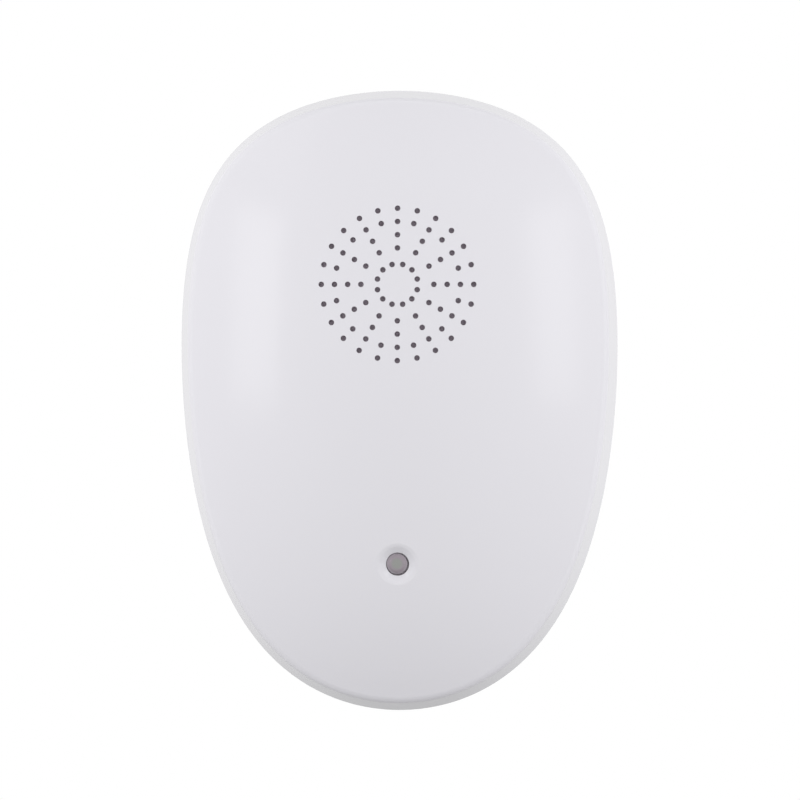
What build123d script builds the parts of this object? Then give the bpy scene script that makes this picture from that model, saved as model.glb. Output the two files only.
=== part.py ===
"""Plug-in ultrasonic pest repeller: an egg-shaped two-part case on a two-pin wall plug.

Frame: +Z up, the domed front faces -Y, and the origin is the centre of the plug's engagement face,
midway between the pins. Millimetres. "Forward" is the distance in front of that face, towards -Y,
so a sketch at forward f lies on Plane.XZ.offset(f), with its x along +X and its y along +Z.
"""

import os
from math import cos, pi, radians, sin, tan

from build123d import *

# ---- driving dimensions -------------------------------------------------------------------------

# case outline: x = EGG_WIDTH cos t (1 + skew terms in sin t), z = HALF_HEIGHT sin t
HALF_HEIGHT = 47.0
EGG_WIDTH = 32.8
EGG_SKEW = (0.097, 0.229, 0.084, 0.059)
HALF_WIDTH = 33.1
WALL = 2.0

# planes of the case, as distances forward of the plug face
REAR = 15.0
PARTING = 24.0
APEX = 45.0
CROWN_DROP = 10.4
CROWN_FULLNESS = 0.25
RIM_RADIUS = 1.6
INNER_RIM_RADIUS = 0.8
FRONT_DRAFT = 6.5
GRILLE_WALL = 0.9
BACK_EDGE_RADIUS = 3.5
LIP_INSET = 1.0
LIP_HEIGHT = 1.6
LIP_GAP = 0.1
PARTING_CHAMFER = 0.25

# sound holes: (ring radius, number of holes, angle of the first hole)
SPEAKER_Z = 17.5
SOUND_HOLE_RADIUS = 0.42
SOUND_RINGS = ((3.1, 12, 15), (5.5, 12, 0), (7.5, 12, 0), (9.5, 24, 0), (11.5, 24, 0))

# indicator lamp
LED_Z = -24.7
LED_RADIUS = 1.55
LED_PLAY = 0.07
LED_HOLE_RADIUS = 1.75
LED_DISH_WIDTH = 1.1
LED_DISH_DEPTH = 0.72
LED_DISH_ROUNDING = 1.2
LED_TIP = 43.0
LED_CROWN_RADIUS = 0.75
LED_SHOULDER = 38.7
LED_FLANGE = 37.7
LED_FLANGE_RADIUS = 1.95
LED_LEAD_RADIUS = 0.25
LEAD_PITCH = 2.54

# case screws
CASE_SCREWS = ((-18, 33), (18, 33), (-13, -37), (13, -37))
CASE_BOSS_RADIUS = 3.5
CASE_SLEEVE_RADIUS = 4.5
CASE_SEAT = 20.0
CASE_SCREW_LENGTH = 11.0
CASE_THREAD_RADIUS = 1.45
CASE_HEAD_RADIUS = 2.8
CASE_COUNTERBORE_RADIUS = 3.3

# two-pin plug, 4 mm pins at 19 mm, half sleeved
PIN_X = 9.5
PIN_RADIUS = 2.0
PIN_LENGTH = 19.0
SLEEVE_LENGTH = 10.0
SLEEVE_RADIUS = 1.8
SLEEVE_DEPTH = 2.0
PIN_CORE_RADIUS = 1.5
PIN_HEAD_RADIUS = 3.0
PIN_HEAD_HEIGHT = 1.2
INSERT_WIDTH = 35.3
INSERT_HEIGHT = 13.7
INSERT_FACE = 3.0
INSERT_WALL = 1.9
FLANGE_FRONT = 19.0
FLANGE_WIDTH = 40.0
FLANGE_DEPTH = 18.0
INSERT_SCREW_Z = 12.0
INSERT_EAR_RADIUS = 4.2
INSERT_COLUMN_RADIUS = 3.6
INSERT_FACE_RADIUS = 0.8
INSERT_FLAT = 26.1
EAR_BACK = 18.6
EAR_FRONT = 20.0
TAG_FRONT = FLANGE_FRONT + 0.6
TAG_LENGTH = 8.0
PIN_TIP_RADIUS = 1.2
FIT_GAP = 0.15
BORE_GAP = 0.02

# blank rating label on the back
LABEL_Z = 20.0
LABEL_WIDTH = 30.0
LABEL_DEPTH = 16.0
LABEL_ROUND = 1.5
LABEL_RECESS = 0.2
LABEL_THICKNESS = 0.15

# circuit board
BOARD_BACK = 22.5
BOARD_THICKNESS = 1.6
BOARD_FRONT = BOARD_BACK + BOARD_THICKNESS
BOARD_INSET = 6.5
BOARD_HALF_WIDTH = 22.0
BOARD_TOP = 27.5
BOARD_BOTTOM = -31.5
BOARD_SCREWS = ((-19, 23), (15, -26))
BOARD_PEGS = ((19, 23), (-15, -26))
POST_RADIUS = 2.8
PEG_RADIUS = 1.2
TAIL = 1.1
LEAD_RADIUS = 0.3
ELBOW_RADIUS = 0.36
HOLE_GAP = 0.1
STANDOFF = 0.3
DISC_STANDOFF = 1.5
CHIP_HEIGHT = 3.2
CORE_X = 10.0
CORE_Z = -6.2
CORE_BACK = 28.8
CORE_FRONT = 34.8
MAINS_WIRE_RADIUS = 0.7
MAINS_WIRE_ENDS = {"live": (-19.5, -15.5), "neutral": (20.3, -13.6)}
SPEAKER_WIRE_RADIUS = 0.45
SPEAKER_WIRE_END_Z = 1.6

# speaker
SPEAKER_RADIUS = 15.0
SPEAKER_FRONT = 38.0
SPEAKER_BACK = 30.0
GASKET_THICKNESS = 1.0
CLOTH_THICKNESS = 0.2
SPEAKER_OPENING = 12.6
SPEAKER_PLAY = 0.3
LOCATING_RING_RADIUS = 16.5
CLAMP_RADIUS = 18.5
CLAMP_ANGLES = (90, 210, 330)
CLAMP_THICKNESS = 1.5
SMALL_THREAD_RADIUS = 1.3
SMALL_HEAD_RADIUS = 2.4
TERMINAL_X = 4.0
TERMINAL_Z = SPEAKER_Z - 9.0

LAND = SPEAKER_FRONT + GASKET_THICKNESS
GRILLE_BACK = LAND + 1.0
CLAMP_BACK = SPEAKER_BACK - CLAMP_THICKNESS
CLAMP_OPENING = 12.0
CLAMP_EAR_RADIUS = 3.0
CLAMP_POST_RADIUS = 2.6
CLAMP_SCREWS = [
    (CLAMP_RADIUS * cos(radians(angle)), SPEAKER_Z + CLAMP_RADIUS * sin(radians(angle)))
    for angle in CLAMP_ANGLES
]
CUP_RADIUS = 13.4
SHELF_BACK = 31.6
SHELF_FRONT = 33.0
SHELF_RADIUS = 8.0
PLATE_RADIUS = 9.0
PLATE_FRONT = SHELF_FRONT + 0.3
CERAMIC_RADIUS = 6.5
CERAMIC_THICKNESS = 0.3
CONE_EYE = 1.0
CONE_FRONT = 37.2
CONE_THICKNESS = 0.35
TERMINAL_BACK = 28.4

# ---- helpers ------------------------------------------------------------------------------------

pieces = {}
leads = []


def at(forward):
    """The plane at a distance forward of the plug face: x is +X, y is +Z, and it faces forward."""
    return Plane.XZ.offset(forward)


def point(x, forward, z):
    return Vector(x, -forward, z)


def egg_points(inset, count=40):
    """Points round the case outline, moved in by inset, starting at its foot."""
    points = []
    for step in range(count):
        angle = -pi / 2 + 2 * pi * step / count
        height = sin(angle)
        swell = 1 + sum(k * height ** (power + 1) for power, k in enumerate(EGG_SKEW))
        x = EGG_WIDTH * cos(angle) * swell
        points.append((x * (1 - inset / HALF_WIDTH), HALF_HEIGHT * height * (1 - inset / HALF_HEIGHT)))
    return points


def egg_sketch(forward, inset):
    """The case outline, moved in by inset, as a filled sketch at that distance forward."""
    with BuildSketch(at(forward)) as outline:
        with BuildLine():
            Spline(*egg_points(inset), periodic=True)
        make_face()
    return outline.sketch


def egg_prism(back, front, inset):
    """The case outline as a straight solid between two forward distances."""
    with BuildPart() as prism:
        extrude(egg_sketch(back, inset), amount=front - back)
    return prism.part


def egg_drafted(back, front, back_inset, draft_angle, stations=4):
    """The case outline as a solid whose side leans in by the draft angle going forward."""
    sections = []
    for step in range(stations):
        forward = back + (front - back) * step / (stations - 1)
        sections.append(egg_sketch(forward, back_inset + (forward - back) * tan(radians(draft_angle))))
    with BuildPart() as drafted:
        loft(sections)
    return drafted.part


def crown_face(apex):
    """The crowned front surface: highest in the middle, lower by CROWN_DROP and steepest at both ends."""
    columns, rows, overhang = 13, 15, 1.08
    grid = []
    for i in range(columns):
        across = overhang * (2 * i / (columns - 1) - 1)
        line = []
        for j in range(rows):
            up = overhang * (2 * j / (rows - 1) - 1)
            drop = CROWN_DROP * (across**2 + (1 - CROWN_FULLNESS) * up**2 + CROWN_FULLNESS * up**4)
            line.append(point(HALF_WIDTH * across, apex - drop, HALF_HEIGHT * up))
        grid.append(line)
    return Face.make_surface_from_array_of_points(grid, tol=0.005, min_deg=3, max_deg=5)


def pillow(inset, back, rim_radius):
    """The domed solid of the front shell, from the plane back to the crown, moved in by inset."""
    with BuildPart() as dome:
        add(egg_drafted(back, APEX + 1, inset, FRONT_DRAFT))
        extrude(crown_face(APEX - inset), amount=2 * CROWN_DROP + 10, dir=(0, -1, 0), mode=Mode.SUBTRACT)
        fillet(dome.faces().sort_by(Axis.Y)[0].edges(), rim_radius)
    return dome.part


def drum(x, z, back, front, radius, mode=Mode.ADD):
    """A plain cylinder along the forward direction."""
    with BuildSketch(at(back)) as disc:
        with Locations((x, z)):
            Circle(radius)
    extrude(disc.sketch, amount=front - back, mode=mode)


def block(x, z, back, front, width, height, mode=Mode.ADD, rounding=0.0):
    """A plain box along the forward direction."""
    with BuildSketch(at(back)) as base:
        with Locations((x, z)):
            if rounding:
                RectangleRounded(width, height, rounding)
            else:
                Rectangle(width, height)
    extrude(base.sketch, amount=front - back, mode=mode)


def insert_outline(forward, grow):
    """The plug's flattened eight-sided outline, moved out by grow."""
    half_width = INSERT_WIDTH / 2 + grow
    half_height = INSERT_HEIGHT / 2 + grow
    flat = INSERT_FLAT / 2 + grow * tan(pi / 8)
    shoulder = half_height - (half_width - flat)
    quarter = [(flat, half_height), (half_width, shoulder)]
    mirrored = [(x, -z) for x, z in reversed(quarter)]
    right = quarter + mirrored
    with BuildSketch(at(forward)) as outline:
        with BuildLine():
            Polyline(*right, *[(-x, z) for x, z in reversed(right)], close=True)
        make_face()
        fillet(outline.vertices(), 1.0)
    return outline.sketch


def screw(x, z, seat, length, thread_radius, head_radius, head_height, backwards=False):
    """A pan-head screw with a cross recess. Its head is behind the seat unless it points backwards."""
    pitch = 1.0
    core = thread_radius * 0.74
    turns = int((length - 2.5) / pitch)
    way = -1 if backwards else 1
    shoulder = 0.6 * head_height
    shank = [(0, length), (0.15, length), (core, length - 1.2)]
    for turn in range(turns):
        base = length - 1.4 - turn * pitch
        shank += [(core, base), (thread_radius, base - pitch * 0.3), (core, base - pitch * 0.6)]
    shank.append((core, 0))
    axis_plane = Plane(origin=point(x, seat, z), x_dir=(1, 0, 0), z_dir=(0, 0, way))
    with BuildPart() as body:
        with BuildSketch(axis_plane):
            with BuildLine():
                Polyline(*[(r, -h) for r, h in shank], (head_radius, 0), (head_radius, head_height - shoulder))
                RadiusArc((head_radius, head_height - shoulder), (head_radius - shoulder, head_height), -shoulder)
                Polyline((head_radius - shoulder, head_height), (0, head_height), (0, -length))
            make_face()
        revolve(axis=Axis(point(x, seat, z), (0, 1, 0)))
        slot_plane = Plane(origin=point(x, seat - way * head_height, z), x_dir=(1, 0, 0), z_dir=(0, -way, 0))
        with BuildSketch(slot_plane):
            Rectangle(1.15 * head_radius, 0.26 * head_radius)
            Rectangle(0.26 * head_radius, 1.15 * head_radius)
        extrude(amount=0.6 * head_height, mode=Mode.SUBTRACT)
    return body.part


def lead(x, z, front, radius=LEAD_RADIUS):
    """A round lead from a component down through the board, remembered for its hole and solder."""
    leads.append((x, z, radius, BOARD_BACK, -1))
    drum(x, z, BOARD_BACK - TAIL, front, radius)


def bend_radii(route):
    """The largest tangent arc that each corner of a wire's route has room for."""
    radii = []
    for before, corner, after in zip(route, route[1:], route[2:]):
        turn = (corner - before).get_angle(after - corner)
        shorter = min((corner - before).length, (after - corner).length)
        radii.append(0.45 * shorter / tan(radians(turn) / 2))
    return radii


def wire(route, radius):
    """A round wire along straight runs joined by tangent arcs."""
    with BuildPart() as tube:
        with BuildLine() as path:
            FilletPolyline(*route, radius=bend_radii(route))
        centre_line = path.wire()
        with BuildSketch(Plane(origin=centre_line @ 0, z_dir=centre_line % 0)) as section:
            Circle(radius)
        sweep(section.sketch, path=centre_line)
    drawn = pi * radius**2 * centre_line.length
    print("wire", round(centre_line.length, 1), "mm, bends", [round(bend, 1) for bend in bend_radii(route)])
    print("volume against section times length", round(tube.part.volume / drawn, 3))
    return tube.part


# ---- case ---------------------------------------------------------------------------------------


def foremost(shape):
    """A sorting key that puts the edge or face nearest the front first."""
    return shape.center(CenterOf.BOUNDING_BOX).Y


def is_around_lamp(shape):
    """Whether an edge or a face is centred on the lamp's axis, in front of the lamp's shoulder."""
    middle = shape.center(CenterOf.BOUNDING_BOX)
    return abs(middle.X) < 0.1 and abs(middle.Z - LED_Z) < 0.1 and -middle.Y > LED_SHOULDER


def is_lamp_bore(face):
    """Whether a face is the wall of the lamp's hole."""
    return is_around_lamp(face) and face.geom_type == GeomType.CYLINDER


with BuildPart() as front_posts:
    for boss_x, boss_z in CASE_SCREWS:
        drum(boss_x, boss_z, PARTING + LIP_GAP, APEX, CASE_BOSS_RADIUS)
    drum(0, SPEAKER_Z, SPEAKER_BACK + 4, APEX, LOCATING_RING_RADIUS)
    for post_x, post_z in CLAMP_SCREWS:
        drum(post_x, post_z, SPEAKER_BACK, APEX, CLAMP_POST_RADIUS)
    drum(0, SPEAKER_Z, SPEAKER_BACK, APEX, SPEAKER_OPENING, Mode.SUBTRACT)
    drum(0, LED_Z, LED_SHOULDER + 0.4, APEX, 3.4)
    add(pillow(WALL - 0.4, PARTING - 0.5, INNER_RIM_RADIUS), mode=Mode.INTERSECT)

with BuildPart() as grille_pocket:
    add(pillow(GRILLE_WALL, PARTING, INNER_RIM_RADIUS))
    drum(0, SPEAKER_Z, GRILLE_BACK, APEX, SPEAKER_OPENING, Mode.INTERSECT)

with BuildPart() as front_shell:
    add(pillow(0, PARTING, RIM_RADIUS))
    add(pillow(WALL, PARTING - 0.5, INNER_RIM_RADIUS), mode=Mode.SUBTRACT)
    add(grille_pocket.part, mode=Mode.SUBTRACT)
    add(egg_prism(PARTING - 0.5, PARTING + LIP_HEIGHT, LIP_INSET), mode=Mode.SUBTRACT)
    add(front_posts.part)
    drum(0, SPEAKER_Z, SPEAKER_BACK, LAND, SPEAKER_RADIUS + SPEAKER_PLAY, Mode.SUBTRACT)
    for boss_x, boss_z in CASE_SCREWS:
        drum(boss_x, boss_z, PARTING - 1, PARTING + 8.2, CASE_THREAD_RADIUS + BORE_GAP, Mode.SUBTRACT)
    for post_x, post_z in CLAMP_SCREWS:
        drum(post_x, post_z, SPEAKER_BACK, SPEAKER_BACK + 5.5, SMALL_THREAD_RADIUS + BORE_GAP, Mode.SUBTRACT)
    drum(0, LED_Z, LED_SHOULDER, APEX, LED_HOLE_RADIUS, Mode.SUBTRACT)
    lamp_bore = front_shell.faces().filter_by(is_lamp_bore).sort_by(foremost)[0]
    mouth = lamp_bore.edges().sort_by(foremost)[0]
    chamfer(mouth, LED_DISH_DEPTH, LED_DISH_WIDTH, reference=lamp_bore)
    fillet(front_shell.edges().filter_by(is_around_lamp).sort_by(foremost)[0], LED_DISH_ROUNDING)
    with BuildSketch(at(APEX + 1)):
        with Locations((0, SPEAKER_Z)):
            for ring_radius, ring_count, first_angle in SOUND_RINGS:
                with PolarLocations(ring_radius, ring_count, first_angle):
                    Circle(SOUND_HOLE_RADIUS)
    extrude(amount=-6, mode=Mode.SUBTRACT)
pieces["front_shell"] = front_shell.part


with BuildPart() as rear_shell:
    add(egg_prism(REAR, PARTING, 0))
    fillet(rear_shell.faces().sort_by(Axis.Y)[-1].edges(), BACK_EDGE_RADIUS)
    chamfer(rear_shell.faces().sort_by(Axis.Y)[0].edges(), PARTING_CHAMFER)
    add(egg_prism(PARTING - 1, PARTING + LIP_HEIGHT - LIP_GAP, LIP_INSET + LIP_GAP))
    add(egg_prism(REAR + WALL, PARTING + LIP_HEIGHT, WALL), mode=Mode.SUBTRACT)
    for boss_x, boss_z in CASE_SCREWS:
        drum(boss_x, boss_z, REAR + 1, PARTING, CASE_SLEEVE_RADIUS)
        drum(boss_x, boss_z, REAR - 1, CASE_SEAT, CASE_COUNTERBORE_RADIUS, Mode.SUBTRACT)
        drum(boss_x, boss_z, CASE_SEAT, PARTING + 1, CASE_THREAD_RADIUS + FIT_GAP, Mode.SUBTRACT)
    for post_x, post_z in BOARD_SCREWS:
        drum(post_x, post_z, REAR + 1, BOARD_BACK, POST_RADIUS)
        drum(post_x, post_z, REAR + WALL, BOARD_BACK, SMALL_THREAD_RADIUS + BORE_GAP, Mode.SUBTRACT)
    for post_x, post_z in BOARD_PEGS:
        drum(post_x, post_z, REAR + 1, BOARD_BACK, POST_RADIUS)
        drum(post_x, post_z, REAR + 1, BOARD_FRONT + 0.8, PEG_RADIUS)
    for way in (-1, 1):
        drum(0, way * INSERT_SCREW_Z, REAR + 1, EAR_BACK, POST_RADIUS)
        drum(0, way * INSERT_SCREW_Z, REAR + 0.5, EAR_BACK, SMALL_THREAD_RADIUS + BORE_GAP, Mode.SUBTRACT)
    extrude(insert_outline(REAR - 1, FIT_GAP), amount=WALL + 1, mode=Mode.SUBTRACT)
    block(0, LABEL_Z, REAR - 1, REAR + LABEL_RECESS, LABEL_WIDTH, LABEL_DEPTH, Mode.SUBTRACT, LABEL_ROUND)
pieces["rear_shell"] = rear_shell.part

with BuildPart() as rating_label:
    block(
        0,
        LABEL_Z,
        REAR + LABEL_RECESS - LABEL_THICKNESS,
        REAR + LABEL_RECESS,
        LABEL_WIDTH - 2 * FIT_GAP,
        LABEL_DEPTH - 2 * FIT_GAP,
        rounding=LABEL_ROUND - FIT_GAP,
    )
pieces["rating_label"] = rating_label.part

pieces["case_screws"] = Compound(
    [
        screw(x, z, CASE_SEAT, CASE_SCREW_LENGTH, CASE_THREAD_RADIUS, CASE_HEAD_RADIUS, 2.0)
        for x, z in CASE_SCREWS
    ]
)

# ---- plug ---------------------------------------------------------------------------------------

with BuildPart() as plug_insert:
    extrude(insert_outline(0, 0), amount=FLANGE_FRONT)
    fillet(plug_insert.faces().sort_by(Axis.Y)[-1].edges(), INSERT_FACE_RADIUS)
    block(0, 0, REAR + WALL, FLANGE_FRONT, FLANGE_WIDTH, FLANGE_DEPTH, rounding=2.0)
    for way in (-1, 1):
        drum(0, way * INSERT_SCREW_Z, EAR_BACK, EAR_FRONT, INSERT_EAR_RADIUS)
        block(
            0,
            way * (INSERT_SCREW_Z + FLANGE_DEPTH / 2 - 2) / 2,
            EAR_BACK,
            EAR_FRONT,
            2 * INSERT_EAR_RADIUS,
            INSERT_SCREW_Z - FLANGE_DEPTH / 2 + 2,
        )
        drum(0, way * INSERT_SCREW_Z, EAR_BACK, EAR_FRONT, SMALL_THREAD_RADIUS + FIT_GAP, Mode.SUBTRACT)
    extrude(insert_outline(INSERT_FACE, -INSERT_WALL), amount=EAR_FRONT - INSERT_FACE, mode=Mode.SUBTRACT)
    for pin_x in (-PIN_X, PIN_X):
        drum(pin_x, 0, INSERT_FACE - 1, FLANGE_FRONT, INSERT_COLUMN_RADIUS)
        drum(pin_x, 0, 0, SLEEVE_DEPTH, SLEEVE_RADIUS + BORE_GAP, Mode.SUBTRACT)
        drum(pin_x, 0, SLEEVE_DEPTH, FLANGE_FRONT, PIN_CORE_RADIUS + BORE_GAP, Mode.SUBTRACT)
pieces["plug_insert"] = plug_insert.part

pieces["plug_insert_screws"] = Compound(
    [
        screw(0, way * INSERT_SCREW_Z, EAR_FRONT, 4.2, SMALL_THREAD_RADIUS, SMALL_HEAD_RADIUS, 1.3, True)
        for way in (-1, 1)
    ]
)

for side, pin_x in (("left", -PIN_X), ("right", PIN_X)):
    with BuildPart() as pin:
        drum(pin_x, 0, -PIN_LENGTH, -SLEEVE_LENGTH, PIN_RADIUS)
        fillet(pin.faces().sort_by(Axis.Y)[-1].edges(), PIN_TIP_RADIUS)
        drum(pin_x, 0, -SLEEVE_LENGTH, TAG_FRONT, PIN_CORE_RADIUS)
        drum(pin_x, 0, TAG_FRONT, TAG_FRONT + PIN_HEAD_HEIGHT, PIN_HEAD_RADIUS)
        fillet(pin.faces().sort_by(Axis.Y)[0].edges(), 0.5)
    pieces["plug_pin_" + side] = pin.part

    with BuildPart() as sleeve:
        drum(pin_x, 0, -SLEEVE_LENGTH, SLEEVE_DEPTH, SLEEVE_RADIUS)
        drum(pin_x, 0, -SLEEVE_LENGTH, SLEEVE_DEPTH, PIN_CORE_RADIUS + BORE_GAP, Mode.SUBTRACT)
    pieces["pin_sleeve_" + side] = sleeve.part

    with BuildPart() as tag:
        drum(pin_x, 0, FLANGE_FRONT, TAG_FRONT, PIN_HEAD_RADIUS + 0.3)
        block(pin_x, -TAG_LENGTH / 2, FLANGE_FRONT, TAG_FRONT, 2.6, TAG_LENGTH)
        drum(pin_x, 0, FLANGE_FRONT, TAG_FRONT, PIN_CORE_RADIUS + BORE_GAP, Mode.SUBTRACT)
    pieces["solder_tag_" + side] = tag.part

# ---- speaker ------------------------------------------------------------------------------------


def ring(back, front, outer, inner):
    """A flat ring about the speaker's axis."""
    drum(0, SPEAKER_Z, back, front, outer)
    drum(0, SPEAKER_Z, back, front, inner, Mode.SUBTRACT)


with BuildPart() as speaker_cloth:
    add(pillow(GRILLE_WALL + BORE_GAP, PARTING, INNER_RIM_RADIUS))
    add(pillow(GRILLE_WALL + BORE_GAP + CLOTH_THICKNESS, PARTING, INNER_RIM_RADIUS), mode=Mode.SUBTRACT)
    drum(0, SPEAKER_Z, GRILLE_BACK, APEX, SPEAKER_OPENING - FIT_GAP, Mode.INTERSECT)
pieces["speaker_cloth"] = speaker_cloth.part

with BuildPart() as speaker_gasket:
    ring(SPEAKER_FRONT, SPEAKER_FRONT + GASKET_THICKNESS, SPEAKER_RADIUS, SPEAKER_OPENING)
pieces["speaker_gasket"] = speaker_gasket.part

with BuildPart() as speaker_frame:
    drum(0, SPEAKER_Z, SPEAKER_BACK, SPEAKER_FRONT, SPEAKER_RADIUS)
    drum(0, SPEAKER_Z, SPEAKER_BACK, SHELF_BACK, CUP_RADIUS, Mode.SUBTRACT)
    drum(0, SPEAKER_Z, SHELF_BACK, SHELF_FRONT, SHELF_RADIUS, Mode.SUBTRACT)
    drum(0, SPEAKER_Z, SHELF_FRONT, CONE_FRONT, CUP_RADIUS, Mode.SUBTRACT)
    drum(0, SPEAKER_Z, CONE_FRONT, SPEAKER_FRONT, SPEAKER_OPENING, Mode.SUBTRACT)
    fillet(speaker_frame.faces().sort_by(Axis.Y)[-1].edges().sort_by(SortBy.LENGTH)[-1], 0.5)
pieces["speaker_frame"] = speaker_frame.part

with BuildPart() as speaker_cone:
    with BuildSketch(Plane(origin=point(0, 0, SPEAKER_Z), x_dir=(1, 0, 0), z_dir=(0, 0, 1))):
        with BuildLine():
            Polyline(
                (CONE_EYE, -PLATE_FRONT),
                (CONE_EYE + 1.5, -PLATE_FRONT),
                (CUP_RADIUS - 1.2, -(CONE_FRONT - CONE_THICKNESS)),
                (CUP_RADIUS, -(CONE_FRONT - CONE_THICKNESS)),
                (CUP_RADIUS, -CONE_FRONT),
                (CUP_RADIUS - 1.4, -CONE_FRONT),
                (CONE_EYE + 1.3, -(PLATE_FRONT + CONE_THICKNESS)),
                (CONE_EYE, -(PLATE_FRONT + CONE_THICKNESS)),
                close=True,
            )
        make_face()
    revolve(axis=Axis(point(0, 0, SPEAKER_Z), (0, 1, 0)))
pieces["speaker_cone"] = speaker_cone.part

with BuildPart() as piezo_plate:
    drum(0, SPEAKER_Z, SHELF_FRONT, PLATE_FRONT, PLATE_RADIUS)
pieces["piezo_plate"] = piezo_plate.part

with BuildPart() as piezo_ceramic:
    drum(0, SPEAKER_Z, SHELF_FRONT - CERAMIC_THICKNESS, SHELF_FRONT, CERAMIC_RADIUS)
pieces["piezo_ceramic"] = piezo_ceramic.part

with BuildPart() as speaker_back_cap:
    drum(0, SPEAKER_Z, SPEAKER_BACK + 0.2, SHELF_BACK, CUP_RADIUS)
    for way in (-1, 1):
        block(way * TERMINAL_X, TERMINAL_Z, SPEAKER_BACK, SHELF_BACK, 2.0, 0.5, Mode.SUBTRACT)
pieces["speaker_back_cap"] = speaker_back_cap.part

with BuildPart() as speaker_terminals:
    for way in (-1, 1):
        block(way * TERMINAL_X, TERMINAL_Z, TERMINAL_BACK, SHELF_BACK, 2.0, 0.5)
pieces["speaker_terminals"] = speaker_terminals.part

with BuildPart() as speaker_clamp:
    drum(0, SPEAKER_Z, CLAMP_BACK, SPEAKER_BACK, SPEAKER_RADIUS - 0.2)
    for angle in CLAMP_ANGLES:
        with BuildSketch(at(CLAMP_BACK)) as ear:
            with Locations((0, SPEAKER_Z)):
                with PolarLocations(CLAMP_RADIUS, 1, angle):
                    Circle(CLAMP_EAR_RADIUS)
                with PolarLocations(CLAMP_RADIUS - 2.5, 1, angle):
                    Rectangle(5, 2 * CLAMP_EAR_RADIUS)
        extrude(ear.sketch, amount=CLAMP_THICKNESS)
    drum(0, SPEAKER_Z, CLAMP_BACK, SPEAKER_BACK, CLAMP_OPENING, Mode.SUBTRACT)
    for screw_x, screw_z in CLAMP_SCREWS:
        drum(screw_x, screw_z, CLAMP_BACK, SPEAKER_BACK, SMALL_THREAD_RADIUS + FIT_GAP, Mode.SUBTRACT)
pieces["speaker_clamp"] = speaker_clamp.part

pieces["speaker_screws"] = Compound(
    [screw(x, z, CLAMP_BACK, 6.5, SMALL_THREAD_RADIUS, SMALL_HEAD_RADIUS, 1.4) for x, z in CLAMP_SCREWS]
)

# ---- indicator lamp -----------------------------------------------------------------------------

# the lamp rests against the upper left of its hole
with BuildPart() as led_lens:
    drum(-LED_PLAY, LED_Z + LED_PLAY, LED_FLANGE, LED_SHOULDER, LED_FLANGE_RADIUS)
    drum(-LED_PLAY, LED_Z + LED_PLAY, LED_SHOULDER, LED_TIP, LED_RADIUS)
    fillet(led_lens.faces().sort_by(Axis.Y)[0].edges(), LED_CROWN_RADIUS)
pieces["led_lens"] = led_lens.part

with BuildPart() as led_leads:
    for way in (-1, 1):
        lead(way * LEAD_PITCH / 2, LED_Z, LED_FLANGE, LED_LEAD_RADIUS)
pieces["led_leads"] = led_leads.part

with BuildPart() as led_spacer:
    drum(0, LED_Z, BOARD_FRONT, LED_FLANGE, 2.4)
    for way in (-1, 1):
        drum(way * LEAD_PITCH / 2, LED_Z, BOARD_FRONT, LED_FLANGE, LED_LEAD_RADIUS + FIT_GAP, Mode.SUBTRACT)
pieces["led_spacer"] = led_spacer.part

# ---- parts on the board -------------------------------------------------------------------------


def axial(x, z, radius, length, pitch, rounding):
    """A part lying across the board, its two leads turned down through it."""
    middle = BOARD_FRONT + STANDOFF + radius
    with BuildPart(mode=Mode.PRIVATE) as barrel:
        with BuildSketch(Plane.YZ.offset(x - length / 2)) as end:
            with Locations((-middle, z)):
                Circle(radius)
        extrude(end.sketch, amount=length)
        fillet(barrel.edges(), rounding)
    add(barrel.part)
    with BuildSketch(Plane.YZ.offset(x - pitch / 2)) as wire_end:
        with Locations((-middle, z)):
            Circle(LEAD_RADIUS)
    extrude(wire_end.sketch, amount=pitch)
    for way in (-1, 1):
        lead(x + way * pitch / 2, z, middle + ELBOW_RADIUS, ELBOW_RADIUS)


def radial_disc(x, z, radius, thickness, pitch):
    """A coated disc standing on its edge, on two leads."""
    middle = BOARD_FRONT + DISC_STANDOFF + radius
    with BuildPart(mode=Mode.PRIVATE) as coin:
        with BuildSketch(Plane.XY.offset(z - thickness / 2)) as face:
            with Locations((x, -middle)):
                Circle(radius)
        extrude(face.sketch, amount=thickness)
        fillet(coin.edges(), thickness * 0.4)
    add(coin.part)
    for way in (-1, 1):
        lead(x + way * pitch / 2, z, middle)


def can(x, z, radius, height, pitch):
    """A rolled can standing on the board: a crimp groove near its foot and a recessed top."""
    foot = BOARD_FRONT + STANDOFF
    with BuildPart(mode=Mode.PRIVATE) as barrel:
        drum(x, z, foot, foot + height, radius)
        fillet(barrel.edges(), 0.4)
        drum(x, z, foot + height - 0.3, foot + height, radius - 0.9, Mode.SUBTRACT)
        with BuildSketch(at(foot + 1.4)) as groove:
            with Locations((x, z)):
                Circle(radius + 1)
                Circle(radius - 0.3, mode=Mode.SUBTRACT)
        extrude(groove.sketch, amount=0.7, mode=Mode.SUBTRACT)
    add(barrel.part)
    for way in (-1, 1):
        lead(x + way * pitch / 2, z, foot + 1)


def chip(x, z, width, length, rows):
    """A moulded chip with a row of formed legs down each side and a notch in its top."""
    foot = BOARD_FRONT + STANDOFF
    with BuildPart(mode=Mode.PRIVATE) as body:
        block(x, z, foot, foot + CHIP_HEIGHT, width, length)
        chamfer(body.edges().filter_by(GeomType.LINE), 0.25)
        drum(x, z + length / 2, foot + CHIP_HEIGHT - 0.4, foot + CHIP_HEIGHT, 0.9, Mode.SUBTRACT)
    add(body.part)
    for row in range(rows):
        leg_z = z + (row - (rows - 1) / 2) * LEAD_PITCH * (3 if rows == 2 else 1)
        for way in (-1, 1):
            leg_x = x + way * 1.5 * LEAD_PITCH
            block((leg_x + x) / 2, leg_z, foot + 1.4, foot + 1.7, abs(leg_x - x) + 2 * LEAD_RADIUS, 0.6)
            lead(leg_x, leg_z, foot + 1.7)


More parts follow.
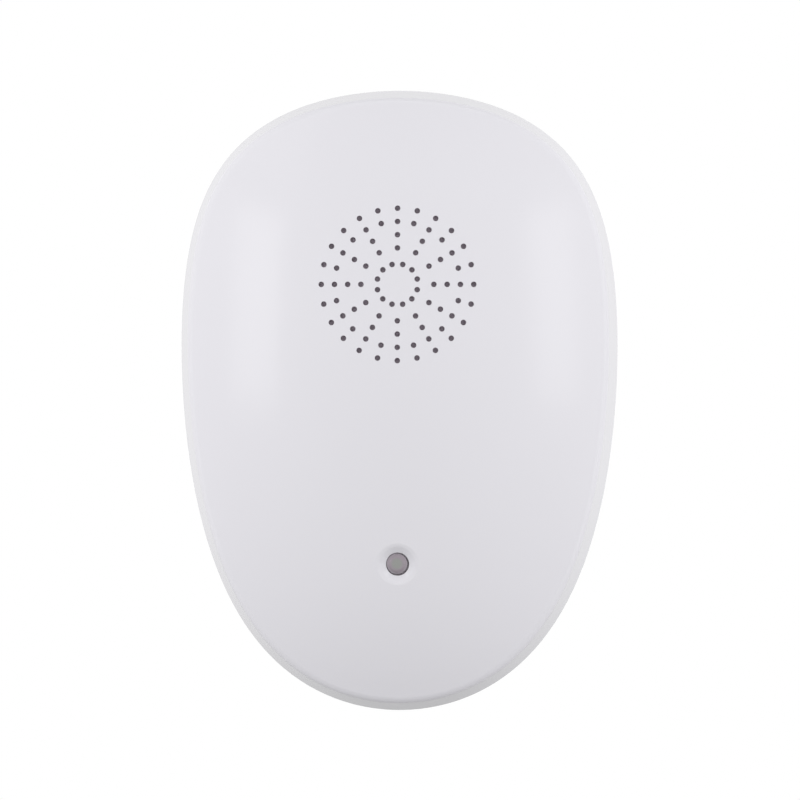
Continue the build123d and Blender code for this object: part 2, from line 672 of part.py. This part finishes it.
with BuildPart() as fuse:
    axial(-12, -19.5, 1.8, 9, 14, 0.5)
pieces["fuse"] = fuse.part

with BuildPart() as x_capacitor:
    block(-12, -12, BOARD_FRONT + STANDOFF, BOARD_FRONT + STANDOFF + 11, 13, 6)
    fillet(x_capacitor.edges().filter_by(Axis.Y), 0.6)
    for lead_x in (-17, -7):
        lead(lead_x, -12, BOARD_FRONT + 1)
pieces["x_capacitor"] = x_capacitor.part

with BuildPart() as varistor:
    radial_disc(-12, -4.5, 3.6, 3.4, 5)
pieces["varistor"] = varistor.part

with BuildPart() as bridge_rectifier:
    chip(0, -14, 6.4, 9.2, 2)
pieces["bridge_rectifier"] = bridge_rectifier.part

with BuildPart() as control_chip:
    chip(-6, 16.5, 6.4, 9.8, 4)
pieces["control_chip"] = control_chip.part

with BuildPart() as bulk_capacitor:
    can(9.5, -18.7, 4, 11.5, 3.5)
pieces["bulk_capacitor"] = bulk_capacitor.part

with BuildPart() as output_capacitor:
    can(17.6, -18, 2.5, 9, 2)
pieces["output_capacitor"] = output_capacitor.part

with BuildPart() as drive_inductor:
    for back, front, radius in ((0, 1, 3), (1, 7, 2.5), (7, 8, 3)):
        drum(-2, -3.5, BOARD_FRONT + STANDOFF + back, BOARD_FRONT + STANDOFF + front, radius)
    for lead_x in (-4, 0):
        lead(lead_x, -3.5, BOARD_FRONT + 1)
pieces["drive_inductor"] = drive_inductor.part

with BuildPart() as transistors:
    for body_z in (-10, -4):
        with BuildSketch(at(BOARD_FRONT + 1.5)) as half_round:
            with Locations((19.5, body_z)):
                Circle(2.3)
            with Locations((19.5, body_z - 2.8)):
                Rectangle(6, 3, mode=Mode.SUBTRACT)
        extrude(half_round.sketch, amount=4.6)
        for step in (-1, 0, 1):
            lead(19.5 + step * LEAD_PITCH / 2, body_z, BOARD_FRONT + 2, 0.22)
pieces["transistors"] = transistors.part

with BuildPart() as resistors:
    for body_x, body_z in ((8, 11.5), (8, 15), (8, 18.5), (8, 22), (-16, 12), (-16, 15.5)):
        axial(body_x, body_z, 1.15, 6.3, 4 * LEAD_PITCH, 0.4)
pieces["resistors"] = resistors.part

with BuildPart() as diodes:
    for body_x, body_z in ((-16, 2.5), (14, 3.4), (14, 7)):
        axial(body_x, body_z, 1.3, 5.2, 4 * LEAD_PITCH, 0.2)
pieces["diodes"] = diodes.part

with BuildPart() as ceramic_capacitors:
    for body_x, body_z in ((-7.5, -26.5), (6.5, -27)):
        radial_disc(body_x, body_z, 2.2, 2, LEAD_PITCH)
pieces["ceramic_capacitors"] = ceramic_capacitors.part

with BuildPart() as transformer_core:
    block(CORE_X, CORE_Z, CORE_BACK, CORE_FRONT, 13, 12.6)
    for way in (-1, 1):
        block(CORE_X + way * 3.3, CORE_Z, CORE_BACK, CORE_FRONT, 3, 8.8, Mode.SUBTRACT)
pieces["transformer_core"] = transformer_core.part

with BuildPart() as transformer_bobbin:
    block(CORE_X, CORE_Z, CORE_BACK - 0.7, CORE_FRONT + 0.7, 5, 8.6)
    for way in (-1, 1):
        block(CORE_X, CORE_Z + way * 4, CORE_BACK - 2.4, CORE_FRONT + 1.6, 9.4, 0.6)
    block(CORE_X, CORE_Z, CORE_BACK, CORE_FRONT, 3.6 + 2 * BORE_GAP, 9, Mode.SUBTRACT)
    for way in (-1, 1):
        block(CORE_X, CORE_Z + way * 5, BOARD_FRONT + STANDOFF, CORE_BACK - 0.2, 11.2, 2.6)
        for step in (-1.5, -0.5, 0.5, 1.5):
            lead(CORE_X + step * LEAD_PITCH, CORE_Z + way * 5, BOARD_FRONT + 1)
pieces["transformer_bobbin"] = transformer_bobbin.part

with BuildPart() as transformer_winding:
    with BuildSketch(Plane.XY.offset(CORE_Z - 3.65)) as coil:
        with Locations((CORE_X, -(CORE_BACK + CORE_FRONT) / 2)):
            RectangleRounded(8.8, 9.4, 1.8)
            Rectangle(5, CORE_FRONT - CORE_BACK + 1.4, mode=Mode.SUBTRACT)
    extrude(coil.sketch, amount=7.3)
pieces["transformer_winding"] = transformer_winding.part

# ---- wires --------------------------------------------------------------------------------------

for side, way in (("live", -1), ("neutral", 1)):
    lying = TAG_FRONT + MAINS_WIRE_RADIUS
    end_x, end_z = MAINS_WIRE_ENDS[side]
    mains_route = [
        point(way * PIN_X, lying, -PIN_HEAD_RADIUS - 1.2),
        point(way * PIN_X, lying, -11),
        point(end_x, lying, end_z),
        point(end_x, BOARD_FRONT + 0.8, end_z),
    ]
    leads.append((end_x, end_z, MAINS_WIRE_RADIUS, BOARD_FRONT, 1))
    pieces["mains_wire_" + side] = wire(mains_route, MAINS_WIRE_RADIUS)

for colour, way in (("red", -1), ("black", 1)):
    tab_x = way * TERMINAL_X
    tab_z = TERMINAL_Z - 0.25 - SPEAKER_WIRE_RADIUS
    speaker_route = [
        point(tab_x, SPEAKER_BACK - 0.4, tab_z),
        point(tab_x, SPEAKER_BACK - 3.6, tab_z),
        point(tab_x, SPEAKER_BACK - 3.6, SPEAKER_WIRE_END_Z),
        point(tab_x, BOARD_BACK - 0.8, SPEAKER_WIRE_END_Z),
    ]
    leads.append((tab_x, SPEAKER_WIRE_END_Z, SPEAKER_WIRE_RADIUS, BOARD_BACK, -1))
    pieces["speaker_wire_" + colour] = wire(speaker_route, SPEAKER_WIRE_RADIUS)

# ---- board --------------------------------------------------------------------------------------

with BuildPart() as main_board:
    add(egg_prism(BOARD_BACK, BOARD_FRONT, BOARD_INSET))
    block(
        0,
        (BOARD_TOP + BOARD_BOTTOM) / 2,
        BOARD_BACK,
        BOARD_FRONT,
        2 * BOARD_HALF_WIDTH,
        BOARD_TOP - BOARD_BOTTOM,
        Mode.INTERSECT,
    )
    with BuildSketch(at(BOARD_BACK)) as holes:
        for hole_x, hole_z, lead_radius, _, _ in leads:
            with Locations((hole_x, hole_z)):
                Circle(lead_radius + HOLE_GAP)
        with Locations(*BOARD_SCREWS, *BOARD_PEGS):
            Circle(SMALL_THREAD_RADIUS + FIT_GAP)
    extrude(holes.sketch, amount=BOARD_THICKNESS, mode=Mode.SUBTRACT)
pieces["main_board"] = main_board.part

pieces["board_screws"] = Compound(
    [
        screw(x, z, BOARD_FRONT, 6, SMALL_THREAD_RADIUS, SMALL_HEAD_RADIUS, 1.4, True)
        for x, z in BOARD_SCREWS
    ]
)

with BuildPart() as solder_joints:
    for joint_x, joint_z, lead_radius, face, way in leads:
        with BuildSketch(Plane(origin=point(joint_x, face, joint_z), x_dir=(1, 0, 0))) as fillet_shape:
            with BuildLine():
                Polyline(
                    (lead_radius + BORE_GAP, 0),
                    (lead_radius + 0.6, 0),
                    (lead_radius + 0.25, -way * 0.4),
                    (lead_radius + BORE_GAP, -way * 0.7),
                    close=True,
                )
            make_face()
        revolve(fillet_shape.sketch, axis=Axis(point(joint_x, 0, joint_z), (0, 1, 0)))
pieces["solder_joints"] = solder_joints.part

# ---- files --------------------------------------------------------------------------------------

os.makedirs("parts", exist_ok=True)
for name, piece in pieces.items():
    piece.label = name
    export_step(piece, "parts/" + name + ".step")
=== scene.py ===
"""Looks of a plug-in ultrasonic pest repeller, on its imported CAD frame. Metres, +Z up, front towards -Y."""

import math

import bpy
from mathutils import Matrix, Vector


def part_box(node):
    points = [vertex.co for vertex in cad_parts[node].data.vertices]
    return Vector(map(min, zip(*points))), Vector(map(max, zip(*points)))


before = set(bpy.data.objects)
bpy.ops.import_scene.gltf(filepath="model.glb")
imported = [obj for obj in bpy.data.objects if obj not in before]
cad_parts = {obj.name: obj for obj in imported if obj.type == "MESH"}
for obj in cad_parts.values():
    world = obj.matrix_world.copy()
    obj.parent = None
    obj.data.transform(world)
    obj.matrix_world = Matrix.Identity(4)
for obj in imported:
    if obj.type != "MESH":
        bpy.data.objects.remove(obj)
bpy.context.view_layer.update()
MM = 0.001
BOARD_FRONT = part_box("main_board")[0].y

# colours used more than once
CASE_WHITE = (0.745, 0.735, 0.775)
SOLDER_MASK = (0.045, 0.18, 0.075)
TINNED = (0.62, 0.62, 0.64)

# ---- material helpers ---------------------------------------------------------------------------


class Shader:
    """A node material under construction: one Principled shader and short ways to add nodes to it."""

    def __init__(self, name, colour, roughness, metallic=0.0):
        self.material = bpy.data.materials.new(name)
        self.material.use_nodes = True
        self.tree = self.material.node_tree
        self.shader = self.tree.nodes["Principled BSDF"]
        self.set("Base Color", (*colour, 1.0))
        self.set("Roughness", roughness)
        self.set("Metallic", metallic)
        self.place = self.node("ShaderNodeTexCoord").outputs["Object"]

    def node(self, kind, **settings):
        made = self.tree.nodes.new(kind)
        for key, value in settings.items():
            setattr(made, key, value)
        return made

    def link(self, output, socket):
        self.tree.links.new(output, socket)

    def set(self, socket, value):
        self.shader.inputs[socket].default_value = value

    def colour_from(self, output):
        self.link(output, self.shader.inputs["Base Color"])

    def stretched(self, scale):
        """The object's own coordinates, scaled apart along X, Y and Z."""
        mapping = self.node("ShaderNodeMapping")
        mapping.inputs["Scale"].default_value = scale
        self.link(self.place, mapping.inputs["Vector"])
        return mapping.outputs["Vector"]

    def noise(self, size_mm, detail=2.0, place=None):
        """Noise whose blotches are about size_mm across."""
        noise = self.node("ShaderNodeTexNoise")
        noise.inputs["Scale"].default_value = 1.0 / (size_mm * MM)
        noise.inputs["Detail"].default_value = detail
        self.link(place or self.place, noise.inputs["Vector"])
        return noise.outputs["Fac"]

    def math(self, operation, first, second=None):
        step = self.node("ShaderNodeMath", operation=operation)
        for socket, value in zip(step.inputs, (first, second)):
            if value is None:
                continue
            if isinstance(value, (int, float)):
                socket.default_value = value
            else:
                self.link(value, socket)
        return step.outputs[0]

    def spread(self, value, low, high):
        """A 0 to 1 value moved to the range low to high."""
        ranged = self.node("ShaderNodeMapRange")
        ranged.inputs["To Min"].default_value = low
        ranged.inputs["To Max"].default_value = high
        self.link(value, ranged.inputs["Value"])
        return ranged.outputs["Result"]

    def mix(self, mask, first, second):
        """A colour mix; first and second are colours or outputs."""
        mixer = self.node("ShaderNodeMix", data_type="RGBA")
        self.link(mask, mixer.inputs["Factor"])
        for socket, value in ((mixer.inputs["A"], first), (mixer.inputs["B"], second)):
            if isinstance(value, tuple):
                socket.default_value = (*value, 1.0)
            else:
                self.link(value, socket)
        return mixer.outputs["Result"]

    def bump(self, height, depth_mm):
        bump = self.node("ShaderNodeBump")
        bump.inputs["Distance"].default_value = depth_mm * MM
        self.link(height, bump.inputs["Height"])
        self.link(bump.outputs["Normal"], self.shader.inputs["Normal"])

    def axis(self, letter):
        split = self.node("ShaderNodeSeparateXYZ")
        self.link(self.place, split.inputs["Vector"])
        return split.outputs[letter]


def toned(colour, factor):
    """The colour made lighter or darker."""
    return tuple(min(1.0, channel * factor) for channel in colour)


def moulded(name, colour, roughness, grain_mm=0.5, depth_mm=0.01, mottle=0.04, blotch_mm=9.0):
    """Moulded plastic: faint colour drift, fine surface grain and uneven gloss."""
    made = Shader(name, colour, roughness)
    drift = made.noise(blotch_mm, 3.0)
    made.colour_from(made.mix(drift, toned(colour, 1 - mottle), toned(colour, 1 + mottle)))
    uneven = made.spread(made.noise(blotch_mm / 3), roughness * 0.9, roughness * 1.1)
    made.link(uneven, made.shader.inputs["Roughness"])
    made.bump(made.noise(grain_mm, 4.0), depth_mm)
    return made


def metal(name, colour, roughness, streak=(1, 1, 1), grain_mm=0.3, depth_mm=0.004):
    """Metal with fine streaks along the axis whose scale is small."""
    made = Shader(name, colour, roughness, metallic=1.0)
    streaks = made.noise(grain_mm, 3.0, made.stretched(streak))
    made.colour_from(made.mix(streaks, toned(colour, 0.9), toned(colour, 1.06)))
    made.link(made.spread(streaks, roughness * 0.8, roughness * 1.25), made.shader.inputs["Roughness"])
    made.bump(streaks, depth_mm)
    return made


def woven(name, dark, light, pitch_mm):
    """A plain open weave in the plane of X and Z."""
    made = Shader(name, dark, 0.9)
    turn = 2 * math.pi / (pitch_mm * MM)
    across = made.math("SINE", made.math("MULTIPLY", made.axis("X"), turn))
    along = made.math("SINE", made.math("MULTIPLY", made.axis("Z"), turn))
    weave = made.spread(made.math("MULTIPLY", across, along), 0.0, 1.0)
    made.colour_from(made.mix(weave, dark, light))
    made.bump(weave, 0.05)
    made.set("Sheen Weight", 0.3)
    return made


def component(name, colour, roughness=0.45, bare_leg_mm=0.25, mottle=0.05):
    """A coated or moulded component with tinned legs, bare up to bare_leg_mm in front of the board."""
    made = Shader(name, colour, roughness)
    drift = made.noise(1.5, 3.0)
    coat = made.mix(drift, toned(colour, 1 - mottle), toned(colour, 1 + mottle))
    legs = made.math("GREATER_THAN", made.axis("Y"), BOARD_FRONT - bare_leg_mm * MM)
    made.colour_from(made.mix(legs, coat, TINNED))
    made.link(legs, made.shader.inputs["Metallic"])
    made.bump(made.noise(0.25, 3.0), 0.006)
    return made


def dress(node, made):
    """Puts a finished material in a CAD node's slots."""
    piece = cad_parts[node]
    for slot in piece.material_slots:
        slot.material = made.material
    if not piece.material_slots:
        piece.data.materials.append(made.material)


# ---- case ---------------------------------------------------------------------------------------

dress("front_shell", moulded("gloss_case", CASE_WHITE, 0.17, 1.2, 0.0006, 0.006, 30))
dress("rear_shell", moulded("back_case", CASE_WHITE, 0.24, 0.6, 0.003, 0.01, 25))
dress("plug_insert", moulded("plug_insert", (0.70, 0.695, 0.72), 0.38, 0.35, 0.006, 0.015))
dress("rating_label", moulded("blank_label", (0.60, 0.60, 0.62), 0.42, 0.2, 0.004, 0.03, 3.0))

# ---- fasteners, pins and tags -------------------------------------------------------------------

steel = metal("zinc_screw", (0.58, 0.58, 0.60), 0.32)
for node in ("case_screws", "plug_insert_screws", "board_screws", "speaker_screws"):
    dress(node, steel)
nickel = metal("nickel_pin", (0.72, 0.70, 0.66), 0.2, streak=(1, 0.05, 1), grain_mm=0.4)
brass = metal("stamped_brass", (0.76, 0.58, 0.25), 0.28, streak=(1, 1, 0.1))
sleeve = moulded("pin_sleeve", (0.028, 0.028, 0.031), 0.42, 0.3, 0.004, 0.1, 4)
for side in ("left", "right"):
    dress("plug_pin_" + side, nickel)
    dress("pin_sleeve_" + side, sleeve)
    dress("solder_tag_" + side, brass)

# ---- speaker ------------------------------------------------------------------------------------

dress("speaker_cloth", woven("speaker_cloth", (0.34, 0.29, 0.33), (0.47, 0.415, 0.46), 0.35))
dress("speaker_gasket", moulded("foam_gasket", (0.05, 0.05, 0.053), 0.85, 0.3, 0.05, 0.15, 1.0))
speaker_black = moulded("speaker_black", (0.035, 0.035, 0.038), 0.4, 0.4, 0.006, 0.08, 4.0)
dress("speaker_frame", speaker_black)
dress("speaker_back_cap", speaker_black)
dress("speaker_clamp", moulded("nylon_clamp", (0.36, 0.36, 0.38), 0.5, 0.4, 0.006, 0.04, 4.0))
dress("speaker_cone", moulded("pressed_paper", (0.075, 0.07, 0.07), 0.8, 0.15, 0.02, 0.25, 0.8))
dress("piezo_plate", brass)
dress("piezo_ceramic", moulded("silvered_ceramic", (0.62, 0.60, 0.56), 0.35, 0.2, 0.004, 0.06, 1.5))
dress("speaker_terminals", brass)

# ---- lamp ---------------------------------------------------------------------------------------

# a greenish core that fades into a purplish rim
CORE_RADIUS, RIM_RADIUS = 0.5 * MM, 1.05 * MM
CORE_DARK, CORE_LIGHT = (0.255, 0.262, 0.25), (0.28, 0.287, 0.272)
RIM_DARK, RIM_LIGHT = (0.27, 0.235, 0.265), (0.30, 0.262, 0.295)

lens = Shader("diffused_lens", CORE_DARK, 0.22)
lens_low, lens_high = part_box("led_lens")
centre = (lens_low + lens_high) / 2
across = lens.math("POWER", lens.math("SUBTRACT", lens.axis("X"), centre.x), 2.0)
up = lens.math("POWER", lens.math("SUBTRACT", lens.axis("Z"), centre.z), 2.0)
outward = lens.node("ShaderNodeMapRange", interpolation_type="SMOOTHSTEP")
outward.inputs["From Min"].default_value = CORE_RADIUS
outward.inputs["From Max"].default_value = RIM_RADIUS
lens.link(lens.math("SQRT", lens.math("ADD", across, up)), outward.inputs["Value"])
cloudy = lens.noise(0.4, 3.0)
core = lens.mix(cloudy, CORE_DARK, CORE_LIGHT)
rim = lens.mix(cloudy, RIM_DARK, RIM_LIGHT)
lens.colour_from(lens.mix(outward.outputs["Result"], core, rim))
lens.set("Coat Weight", 0.3)
lens.bump(cloudy, 0.004)

# the epoxy lets light through to the dish around it
light_kind = lens.node("ShaderNodeLightPath")
clear = lens.node("ShaderNodeBsdfTransparent")
epoxy_mix = lens.node("ShaderNodeMixShader")
lens.link(light_kind.outputs["Is Camera Ray"], epoxy_mix.inputs["Fac"])
lens.link(clear.outputs["BSDF"], epoxy_mix.inputs[1])
lens.link(lens.shader.outputs["BSDF"], epoxy_mix.inputs[2])
lens.link(epoxy_mix.outputs["Shader"], lens.tree.nodes["Material Output"].inputs["Surface"])
dress("led_lens", lens)

dress("led_leads", metal("tinned_lead", (0.66, 0.66, 0.68), 0.3))
dress("led_spacer", moulded("nylon_spacer", (0.07, 0.07, 0.07), 0.5, 0.3, 0.005, 0.1, 2.0))

# ---- board --------------------------------------------------------------------------------------

TRACK_PITCH = 5 * MM
TRACK_SHARE = 0.10
board = Shader("printed_board", SOLDER_MASK, 0.35)
tracks = board.node("ShaderNodeTexVoronoi", feature="DISTANCE_TO_EDGE", distance="CHEBYCHEV")
tracks.inputs["Scale"].default_value = 1 / TRACK_PITCH
board.link(board.place, tracks.inputs["Vector"])
on_track = board.math("LESS_THAN", tracks.outputs["Distance"], TRACK_SHARE)
board.colour_from(board.mix(on_track, SOLDER_MASK, (0.09, 0.28, 0.12)))
board.bump(on_track, 0.03)
dress("main_board", board)
dress("solder_joints", metal("solder", (0.64, 0.64, 0.65), 0.25, grain_mm=0.2, depth_mm=0.02))

epoxy = component("moulded_epoxy", (0.03, 0.03, 0.033), bare_leg_mm=0.35)
for node in ("bridge_rectifier", "control_chip", "transistors", "diodes"):
    dress(node, epoxy)
dress("fuse", component("fuse_tube", (0.68, 0.62, 0.50), 0.4))
dress("x_capacitor", component("potted_box", (0.74, 0.52, 0.06), 0.4))
dress("varistor", component("blue_epoxy", (0.04, 0.12, 0.38), 0.3, 1.5))
dress("ceramic_capacitors", component("tan_dip", (0.60, 0.28, 0.06), 0.3, 1.5))
dress("resistors", component("resistor_lacquer", (0.30, 0.46, 0.58), 0.3))
for node, colour in (("bulk_capacitor", (0.03, 0.035, 0.12)), ("output_capacitor", (0.02, 0.07, 0.06))):
    dress(node, component(node + "_can", colour, 0.25))
ferrite = component("ground_ferrite", (0.06, 0.06, 0.064), 0.6, mottle=0.2)
dress("drive_inductor", ferrite)
dress("transformer_core", ferrite)
dress("transformer_bobbin", component("bobbin", (0.035, 0.035, 0.035), 0.5))
dress("transformer_winding", moulded("winding_tape", (0.72, 0.50, 0.06), 0.3, 0.5, 0.01, 0.05, 2.0))

for node, colour in (
    ("mains_wire_live", (0.16, 0.06, 0.03)),
    ("mains_wire_neutral", (0.03, 0.10, 0.42)),
    ("speaker_wire_red", (0.45, 0.02, 0.015)),
    ("speaker_wire_black", (0.02, 0.02, 0.02)),
):
    dress(node, moulded(node + "_insulation", colour, 0.45, 0.3, 0.004, 0.08, 1.5))

# ---- floor --------------------------------------------------------------------------------------

FLOOR_Z = -0.25
FLOOR_RADIUS = 1.5
FLOOR_SIDES = 96
floor_turns = [2 * math.pi * side / FLOOR_SIDES for side in range(FLOOR_SIDES)]
floor_mesh = bpy.data.meshes.new("floor")
floor_mesh.from_pydata(
    [(FLOOR_RADIUS * math.cos(turn), FLOOR_RADIUS * math.sin(turn), FLOOR_Z) for turn in floor_turns],
    [],
    [list(range(FLOOR_SIDES))],
)
floor = bpy.data.objects.new("floor", floor_mesh)
bpy.context.collection.objects.link(floor)
floor_mesh.materials.append(moulded("pale_floor", (0.80, 0.80, 0.80), 0.6, 3.0, 0.05, 0.01, 60).material)
# it is seen, but leaves the soft light on the case alone
floor.visible_diffuse = False
floor.visible_glossy = False
floor.visible_shadow = False

# ---- light --------------------------------------------------------------------------------------

world = bpy.data.worlds.new("studio")
bpy.context.scene.world = world
world.use_nodes = True
nodes, links = world.node_tree.nodes, world.node_tree.links
direction = nodes.new("ShaderNodeSeparateXYZ")
links.new(nodes.new("ShaderNodeTexCoord").outputs["Generated"], direction.inputs["Vector"])


def graded(axis, low, high, glow_low, glow_high, interpolation="LINEAR"):
    """A glow that goes from glow_low to glow_high as a direction's share along axis goes from low to high."""
    ranged = nodes.new("ShaderNodeMapRange")
    ranged.interpolation_type = interpolation
    ranged.inputs["From Min"].default_value = low
    ranged.inputs["From Max"].default_value = high
    ranged.inputs["To Min"].default_value = glow_low
    ranged.inputs["To Max"].default_value = glow_high
    links.new(direction.outputs[axis], ranged.inputs["Value"])
    return ranged.outputs["Result"]


def combined(operation, first, second):
    """The sum or product of two glows."""
    step = nodes.new("ShaderNodeMath")
    step.operation = operation
    links.new(first, step.inputs[0])
    links.new(second, step.inputs[1])
    return step.outputs["Value"]


room = graded("Z", -1.0, 0.7, 0.37, 0.65)
front_glow = graded("Y", -1.0, -0.45, 0.46, 0.0, "SMOOTHSTEP")
back_glow = combined("MULTIPLY", graded("Y", 0.3, 0.9, 0.0, 0.28), graded("Z", -0.26, -0.04, 0.15, 1.0))
total = combined("ADD", combined("ADD", room, front_glow), back_glow)

# the backdrop itself shows as plain white
seen = nodes.new("ShaderNodeMix")
seen.data_type = "RGBA"
links.new(nodes.new("ShaderNodeLightPath").outputs["Is Camera Ray"], seen.inputs["Factor"])
links.new(total, seen.inputs["A"])
seen.inputs["B"].default_value = (1.0, 1.0, 1.0, 1.0)
links.new(seen.outputs["Result"], nodes["Background"].inputs["Color"])

LIT_POINT = Vector((0, -0.035, 0))


def outward_from_front(azimuth, elevation):
    """A unit direction; azimuth is 0 in front and grows towards +X, in degrees."""
    a, e = math.radians(azimuth), math.radians(elevation)
    return Vector((math.sin(a) * math.cos(e), -math.cos(a) * math.cos(e), math.sin(e)))


def softbox(name, azimuth, elevation, distance, width, tall, radiance, mirrored=True):
    """A rectangular soft light that faces the front of the case. Unmirrored, it leaves no highlight."""
    light = bpy.data.lights.new(name, "AREA")
    light.shape = "RECTANGLE"
    light.size = width
    light.size_y = tall
    light.energy = math.pi * width * tall * radiance
    outward = outward_from_front(azimuth, elevation)
    lamp = bpy.data.objects.new(name, light)
    lamp.location = LIT_POINT + outward * distance
    lamp.rotation_euler = outward.to_track_quat("Z", "Y").to_euler()
    lamp.visible_glossy = mirrored
    bpy.context.collection.objects.link(lamp)


softbox("left_softbox", -46.5, 13, 1.0, 0.235, 0.47, 1.4)
softbox("right_softbox", 49, 13, 1.0, 0.20, 0.47, 1.25)
softbox("left_wall", -80, 5, 1.2, 1.0, 1.2, 1.95, mirrored=False)
softbox("right_wall", 80, 5, 1.2, 1.0, 1.2, 2.05, mirrored=False)
softbox("upper_left", -60, 45, 1.2, 0.8, 0.5, 0.27)
softbox("overhead", 0, 80, 1.0, 0.8, 0.3, 0.5)

# ---- camera -------------------------------------------------------------------------------------

CAMERA_AIM = Vector((0.00015, -0.028, 0.00006))
CAMERA_DISTANCE = 3.0
CAMERA_AZIMUTH = 0.9  # degrees, from straight in front towards +X
SEEN_WIDTH = 0.12128  # at the aim
SENSOR_WIDTH = 36.0

camera_data = bpy.data.cameras.new("camera")
camera_data.sensor_width = SENSOR_WIDTH
camera_data.lens = SENSOR_WIDTH * CAMERA_DISTANCE / SEEN_WIDTH
camera_data.clip_end = 20
camera = bpy.data.objects.new("camera", camera_data)
bpy.context.collection.objects.link(camera)
camera.location = CAMERA_AIM + CAMERA_DISTANCE * outward_from_front(CAMERA_AZIMUTH, 0)
camera.rotation_euler = (math.pi / 2, 0, math.radians(CAMERA_AZIMUTH))
bpy.context.scene.camera = camera
bpy.context.scene.view_settings.view_transform = "Standard"
